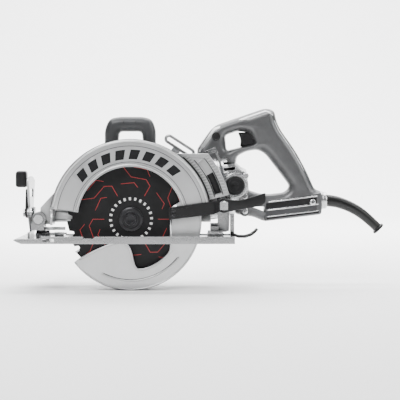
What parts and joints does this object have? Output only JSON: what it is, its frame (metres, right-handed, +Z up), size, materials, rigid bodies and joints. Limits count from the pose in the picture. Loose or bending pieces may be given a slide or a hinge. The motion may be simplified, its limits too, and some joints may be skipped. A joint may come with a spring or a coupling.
{
  "type": "circular saw",
  "caption": "Worm drive circular saw, blade on the left, with swinging lower guard, depth and bevel adjustment, rear and front handles.",
  "frame": {"origin": "on the sole of the foot, straight below the arbor, in the blade's middle plane", "axes": "+X to the rear along the sole, +Y away from the blade side, +Z up from the sole"},
  "size_m": [0.5333, 0.162, 0.26],
  "materials": {
    "cast_guard": "satin cast magnesium",
    "black_plate": "black powder coat",
    "black_screw": "black oxide",
    "cast_housing": "bright cast magnesium",
    "black_plastic": "moulded black",
    "steel": "ground",
    "copper": "wound and turned copper",
    "bronze": "machined bronze",
    "laminations": "stacked",
    "gray_handle": "gray satin coat over cast metal",
    "dark_handle": "dark gray moulded",
    "black_rubber": "moulded",
    "blade_coat": "black coat with thin red lines",
    "carbide": "ground carbide",
    "foot_metal": "bright cast magnesium"
  },
  "bodies": {
    "housing": {"upper_guard": "cast_guard", "guard_strap": "black_plate", "strap_screws": "black_screw", "rear_shroud": "cast_guard", "gear_housing": "cast_housing", "gear_cover": "cast_housing", "oil_plug": "black_screw", "motor_housing": "cast_housing", "motor_end_cap": "cast_housing", "field_stator": "laminations", "carbon_brushes": "black_plastic", "brush_caps": "black_plastic", "handle_shell_near": "gray_handle", "handle_shell_far": "gray_handle", "handle_screws": "black_screw", "handle_plug": "black_plastic", "front_handle": "dark_handle", "front_handle_screws": "black_screw", "trigger_switch": "black_plastic", "cord_collar": "cast_housing", "cord_boot": "black_rubber", "arbor_bearings": "steel", "armature_bearings": "steel", "guard_spring": "steel", "depth_lock_bolt": "steel", "depth_lock_nut": "steel"},
    "blade_drive": {"blade": "blade_coat", "blade_tips": "carbide", "inner_washer": "steel", "outer_washer": "black_screw", "arbor_bolt": "black_screw", "arbor_shaft": "steel", "worm_wheel": "bronze"},
    "armature": {"armature_shaft": "steel", "armature_core": "laminations", "commutator": "copper", "cooling_fan": "black_plastic"},
    "swing_guard": {"lower_guard": "cast_guard", "guard_lift_lever": "steel"},
    "trigger_body": {"trigger": "black_plastic"},
    "depth_lever_body": {"depth_lever": "black_plate"},
    "depth_carriage": {"front_bracket": "foot_metal", "depth_pivot_pin": "steel", "bevel_bolt": "steel", "depth_quadrant": "foot_metal"},
    "foot": {"foot_plate": "foot_metal", "bevel_quadrant": "foot_metal", "bevel_pins": "steel", "rear_bracket": "foot_metal"},
    "bevel_lever_body": {"bevel_lever": "black_plate"},
    "stop_lever_body": {"bevel_stop_lever": "black_plate"},
    "lock_button_body": {"spindle_lock_button": "black_plastic"}
  },
  "joints": [
    {"name": "blade_spin", "type": "hinge", "parent": "housing", "child": "blade_drive", "pos_m": [0, 0, 0.032], "axis": [0, 1, 0], "continuous": true},
    {"name": "armature_spin", "type": "hinge", "parent": "housing", "child": "armature", "pos_m": [0, 0.068, 0.0611], "axis": [0.9925, 0, 0.1219], "continuous": true},
    {"name": "guard_swing", "type": "hinge", "parent": "housing", "child": "swing_guard", "pos_m": [0, 0, 0.032], "axis": [0, -1, 0], "range_deg": [0, 110], "stiffness_Nm_per_rad": 0.3, "springref_deg": -40.11},
    {"name": "trigger_pull", "type": "slide", "parent": "housing", "child": "trigger_body", "axis": [1, 0, 0], "range_m": [0, 0.006], "stiffness_N_per_m": 1200, "springref_m": -0.002},
    {"name": "depth_lever_turn", "type": "hinge", "parent": "housing", "child": "depth_lever_body", "pos_m": [0.131, 0, 0.052], "axis": [0, -1, 0], "range_deg": [0, 50]},
    {"name": "depth_adjust", "type": "hinge", "parent": "housing", "child": "depth_carriage", "pos_m": [-0.1295, 0, 0.0327], "axis": [0, 1, 0], "range_deg": [0, 15]},
    {"name": "bevel_adjust", "type": "hinge", "parent": "depth_carriage", "child": "foot", "pos_m": [0, 0, 0.01], "axis": [-1, 0, 0], "range_deg": [0, 50]},
    {"name": "bevel_lever_turn", "type": "hinge", "parent": "depth_carriage", "child": "bevel_lever_body", "pos_m": [0, 0.01437, 0.04081], "axis": [1, 0, 0], "range_deg": [0, 35]},
    {"name": "stop_lever_turn", "type": "hinge", "parent": "foot", "child": "stop_lever_body", "pos_m": [0.143, 0, 0.012], "axis": [0, -1, 0], "range_deg": [0, 40]},
    {"name": "spindle_lock_press", "type": "slide", "parent": "housing", "child": "lock_button_body", "axis": [0, -1, 0], "range_m": [0, 0.004], "stiffness_N_per_m": 600, "springref_m": -0.002}
  ],
  "couplings": [
    {"joint": "armature_spin", "follows": "blade_spin", "ratio": 4.4}
  ]
}
